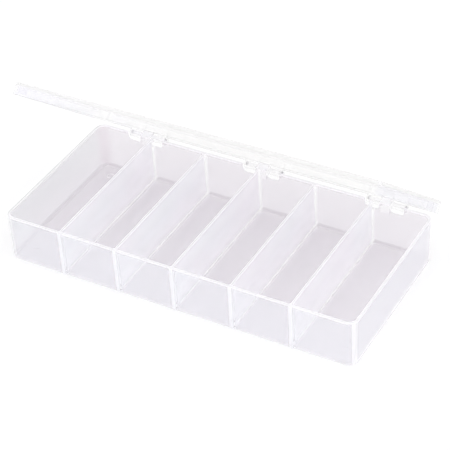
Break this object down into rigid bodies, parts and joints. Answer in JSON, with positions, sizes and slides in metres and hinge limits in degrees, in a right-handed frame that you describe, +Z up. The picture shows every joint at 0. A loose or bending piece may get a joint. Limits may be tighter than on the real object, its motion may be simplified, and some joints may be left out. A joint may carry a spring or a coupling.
{
  "type": "compartment organizer box",
  "caption": "Shallow clear frosted plastic organizer tray with a row of equal open compartments and a lid hinged along its back edge.",
  "frame": {"origin": "middle of the tray's flat underside", "axes": "+X along the length, -Y to the front, +Y to the hinged back, +Z up"},
  "size_m": [0.235, 0.1161, 0.1091],
  "materials": {
    "tray_plastic": "clear frosted polypropylene, lightly matt",
    "lid_plastic": "clear frosted polypropylene, smoother outside",
    "pin_plastic": "natural plastic rod"
  },
  "bodies": {
    "tray": {"tray": "tray_plastic", "hinge_pin_left": "pin_plastic", "hinge_pin_middle": "pin_plastic", "hinge_pin_right": "pin_plastic"},
    "lid": {"lid": "lid_plastic"}
  },
  "joints": [
    {"name": "lid_hinge", "type": "hinge", "parent": "tray", "child": "lid", "pos_m": [0, 0.0576, 0.0295], "axis": [-1, 0, 0], "range_deg": [-39.8, 140.2]}
  ]
}
